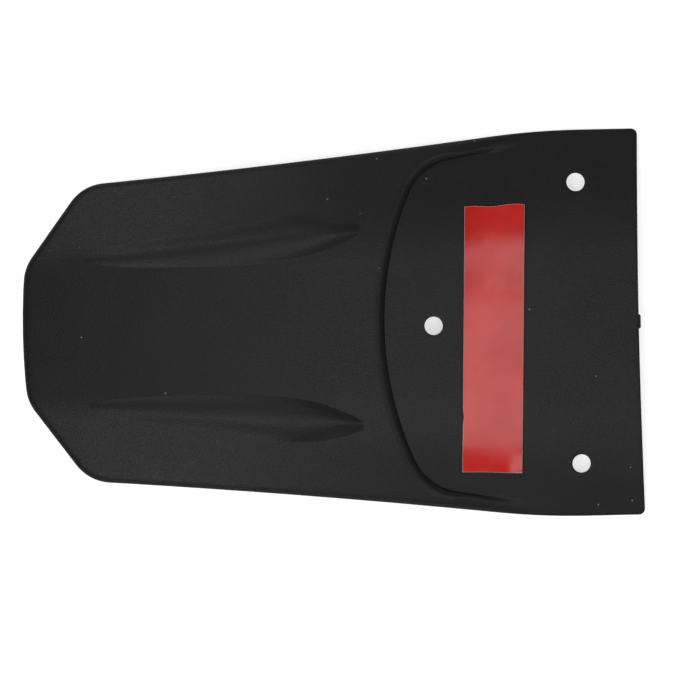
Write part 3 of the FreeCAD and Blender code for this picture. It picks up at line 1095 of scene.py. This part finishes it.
@dataclass
class TapeStrip:
    """Double-sided tape on the pad and the red liner that covers it."""

    foam: TapeFoam
    film: LinerFilm
    corner: Pair = (45.2, -51.4)
    width: float = 21.3
    length: float = 93.5
    skew: float = math.radians(-1.7)
    tape_thickness: float = 1.0
    film_thickness: float = 0.15
    film_margin: float = 0.12
    columns: int = 30
    rows: int = 120
    start_offset: float = -0.8
    start_ripple: float = 0.12
    start_turn: float = 5.0
    stop_offset: float = -0.2
    stop_slant: float = 1.3
    stop_ripple: float = 0.25
    stop_turn: float = 9.0
    phase: float = 0.6
    kink_place: float = 19.0
    kink_length: float = 1.6
    kink_reach: float = 5.0
    kink_depth: float = 0.35
    wave_height: float = 0.05
    wave_length: float = 7.5
    curl_start: float = 15.5
    curl_reach: float = 6.0
    curl_height: float = 0.9
    curl_power: float = 1.5
    crease: float = math.radians(40.0)

    def place(self, u: Array, v: Array) -> Array:
        """Places in plan of places across and along the strip."""
        (x, y), cos, sin = self.corner, math.cos(self.skew), math.sin(self.skew)
        return np.stack([x + u * cos - v * sin, y + u * sin + v * cos], axis=1)

    def ends(self, u: Array) -> tuple[Array, Array]:
        """Start and end of the strip along its length, where its cuts are a little uneven.

        Args:
            u: places across the strip.

        Returns:
            The start and the end at each place.
        """
        share = u / self.width
        start = self.start_offset + self.start_ripple * np.sin(share * self.start_turn)
        ripple = self.stop_ripple * np.sin(share * self.stop_turn + self.phase)
        return start, self.length + self.stop_offset + self.stop_slant * share + ripple

    def lift(self, u: Array, v: Array) -> Array:
        """Lift of the liner above the tape: a faint wave, and one corner that curls up.

        Args:
            u: places across the strip.
            v: places along the strip.

        Returns:
            The lift at each place.
        """
        across = np.sin(u / self.width * math.pi)
        wave = self.wave_height * np.sin(v / self.wave_length + self.phase) * across
        curl = held((u - self.curl_start) / self.curl_reach)
        curl = curl * held((self.curl_reach - v) / self.curl_reach)
        return np.maximum(wave, 0.0) + self.curl_height * curl**self.curl_power

    def cut(self, name: str, margin: float, lifted: bool) -> Piece:
        """Flat cut of the strip, with the lift of each point above what carries it.

        Args:
            name: name of the piece.
            margin: how far its edges lie inside the strip's.
            lifted: whether it waves a little and one corner curls up.

        Returns:
            The flat cut's object.
        """
        across = np.linspace(margin, self.width - margin, self.columns)
        u, share = np.meshgrid(across, np.linspace(0.0, 1.0, self.rows), indexing="ij")
        start, stop = self.ends(u)
        v = start + margin + (stop - start - 2 * margin) * share
        kink = np.exp(-(((v - self.kink_place) / self.kink_length) ** 2))
        kink = kink * held(1 - u / self.kink_reach)
        plan = self.place((u + self.kink_depth * kink).ravel(), v.ravel())
        lift = self.lift(u, v).ravel() if lifted else np.zeros(len(plan))
        faces = grid_faces(self.columns, self.rows)
        piece = mesh_object(name, np.pad(plan, ((0, 0), (0, 1))), faces)
        values = piece.data.attributes.new("lift", "FLOAT", "POINT").data
        values.foreach_set("value", lift * MM)
        return piece

    def build(self, panel: Piece) -> tuple[Piece, Piece]:
        """Build the tape on the panel, and its liner.

        Args:
            panel: the panel that the strip is stuck to.

        Returns:
            The tape's object and the liner's object.
        """
        tree = LaidStripTree("strip_laid_on_pad")
        tape = self.cut("foam_tape", 0.0, False)
        liner = self.cut("red_liner", self.film_margin, True)
        layers = (
            (tape, 0.0, self.tape_thickness, self.foam.material()),
            (liner, self.tape_thickness, self.film_thickness, self.film.material()),
        )
        for piece, height, thickness, material in layers:
            sizes = {"Height": height * MM, "Thickness": thickness * MM}
            tree.apply(piece, {"Surface": panel, "Material": material, **sizes})
        return tape, liner

    def dress(self, tape: Piece, liner: Piece) -> None:
        """Shade both strips, and give them their body.

        Args:
            tape: the tape's object.
            liner: the liner's object.
        """
        pieces = ((tape, "adhesive_tape", "tape_foam"), (liner, "release_liner", "liner_film"))
        for piece, node, slot in pieces:
            shade_smooth(piece, self.crease)
            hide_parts(node)
            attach(piece, "root")


@dataclass(frozen=True)
class Lamp:
    """Soft rectangular lamp: power in watts, and place, size and aim in metres."""

    name: str
    power: float
    place: Triple
    size: Pair
    aim: Triple = (0.0, 0.0, 0.01)

    def hang(self) -> None:
        """Hang the lamp so that it faces the part."""
        light = bpy.data.lights.new(self.name, "AREA")
        light.shape = "RECTANGLE"
        light.size, light.size_y = self.size
        light.energy = self.power
        piece = bpy.data.objects.new(self.name, light)
        piece.location = self.place
        way = Vector(self.aim) - Vector(self.place)
        piece.rotation_euler = way.to_track_quat("-Z", "Y").to_euler()
        bpy.context.scene.collection.objects.link(piece)


@dataclass
class Studio:
    """White table, six soft lamps above and around the part, and a camera straight above."""

    height: float = 3.0
    focus_height: float = 0.008
    centre: Pair = (2.79, -4.3)
    view_width: float = 241.4
    roll: float = math.radians(1.243)
    sensor: float = 36.0
    far_clip: float = 20.0
    surround: float = 0.2
    floor_reach: float = 3e3
    floor_grey: float = 0.8
    floor_glow: float = 0.62
    lamps: tuple[Lamp, ...] = (
        Lamp("lamp_overhead", 3.8, (0.06, -0.21, 1.3), (0.8, 0.55)),
        Lamp("lamp_far_left", 4.2, (-0.5, 0.7, 1.1), (0.6, 0.6)),
        Lamp("lamp_near_left", 4.6, (-0.5, -0.7, 1.1), (0.6, 0.6)),
        Lamp("lamp_far_side", 1.8, (0.1, 1.0, 0.2), (1.2, 0.35)),
        Lamp("lamp_near_side", 1.8, (0.1, -1.0, 0.2), (1.2, 0.35)),
        Lamp("lamp_right", 1.7, (0.9, -0.1, 1.0), (0.6, 0.4)),
    )

    def floor(self) -> None:
        """Lay a wide pale floor that looks white to the camera."""
        corners = ((-1, -1, 0), (1, -1, 0), (1, 1, 0), (-1, 1, 0))
        piece = mesh_object("studio_floor", np.array(corners) * self.floor_reach, [[0, 1, 2, 3]])
        board = MaterialBoard("white_floor")
        path = board.add("ShaderNodeLightPath").outputs
        rays = {0: path["Is Camera Ray"], 1: path["Is Transmission Ray"]}
        seen = board.first("ShaderNodeMath", rays, operation="MAXIMUM")
        matt = board.first("ShaderNodeBsdfDiffuse", Color=(*[self.floor_grey] * 3, 1.0))
        white = (*[self.floor_glow] * 3, 1.0)
        glow = board.first("ShaderNodeEmission", Color=white, Strength=1.0)
        lit = board.first("ShaderNodeAddShader", {0: matt, 1: glow})
        floor = board.first("ShaderNodeMixShader", {0: seen, 1: matt, 2: lit})
        piece.data.materials.append(board.close(floor))

    def light(self) -> None:
        """Hang the lamps and set a dim plain surround."""
        for lamp in self.lamps:
            lamp.hang()
        world = bpy.data.worlds.new("studio")
        world.use_nodes = True
        background = world.node_tree.nodes["Background"].inputs
        background["Color"].default_value = (1.0, 1.0, 1.0, 1.0)
        background["Strength"].default_value = self.surround
        bpy.context.scene.world = world

    def camera(self) -> None:
        """Put the camera straight above the panel, turned a little as in the photograph."""
        lens = bpy.data.cameras.new("overhead_camera")
        lens.sensor_width = self.sensor
        lens.lens = self.sensor * (self.height - self.focus_height) / (self.view_width * MM)
        lens.clip_end = self.far_clip
        piece = bpy.data.objects.new("overhead_camera", lens)
        piece.location = (self.centre[0] * MM, self.centre[1] * MM, self.height)
        piece.rotation_euler = (0.0, 0.0, -self.roll)
        bpy.context.scene.collection.objects.link(piece)
        bpy.context.scene.camera = piece


def main() -> None:
    """Build the object and the studio."""
    logging.basicConfig(level=logging.INFO, format="%(message)s")
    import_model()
    bpy.context.scene.view_settings.view_transform = "Standard"
    panel = FenderPanel(GrainedPlastic())
    shell = panel.build()
    panel.dress(shell)
    strip = TapeStrip(TapeFoam(), LinerFilm())
    tape, liner = strip.build(shell)
    strip.dress(tape, liner)
    for piece in (shell, tape, liner):
        LOG.info("%s: %d faces", piece.name, len(piece.data.polygons))
    studio = Studio()
    studio.floor()
    studio.light()
    studio.camera()


if __name__ == "__main__":
    main()
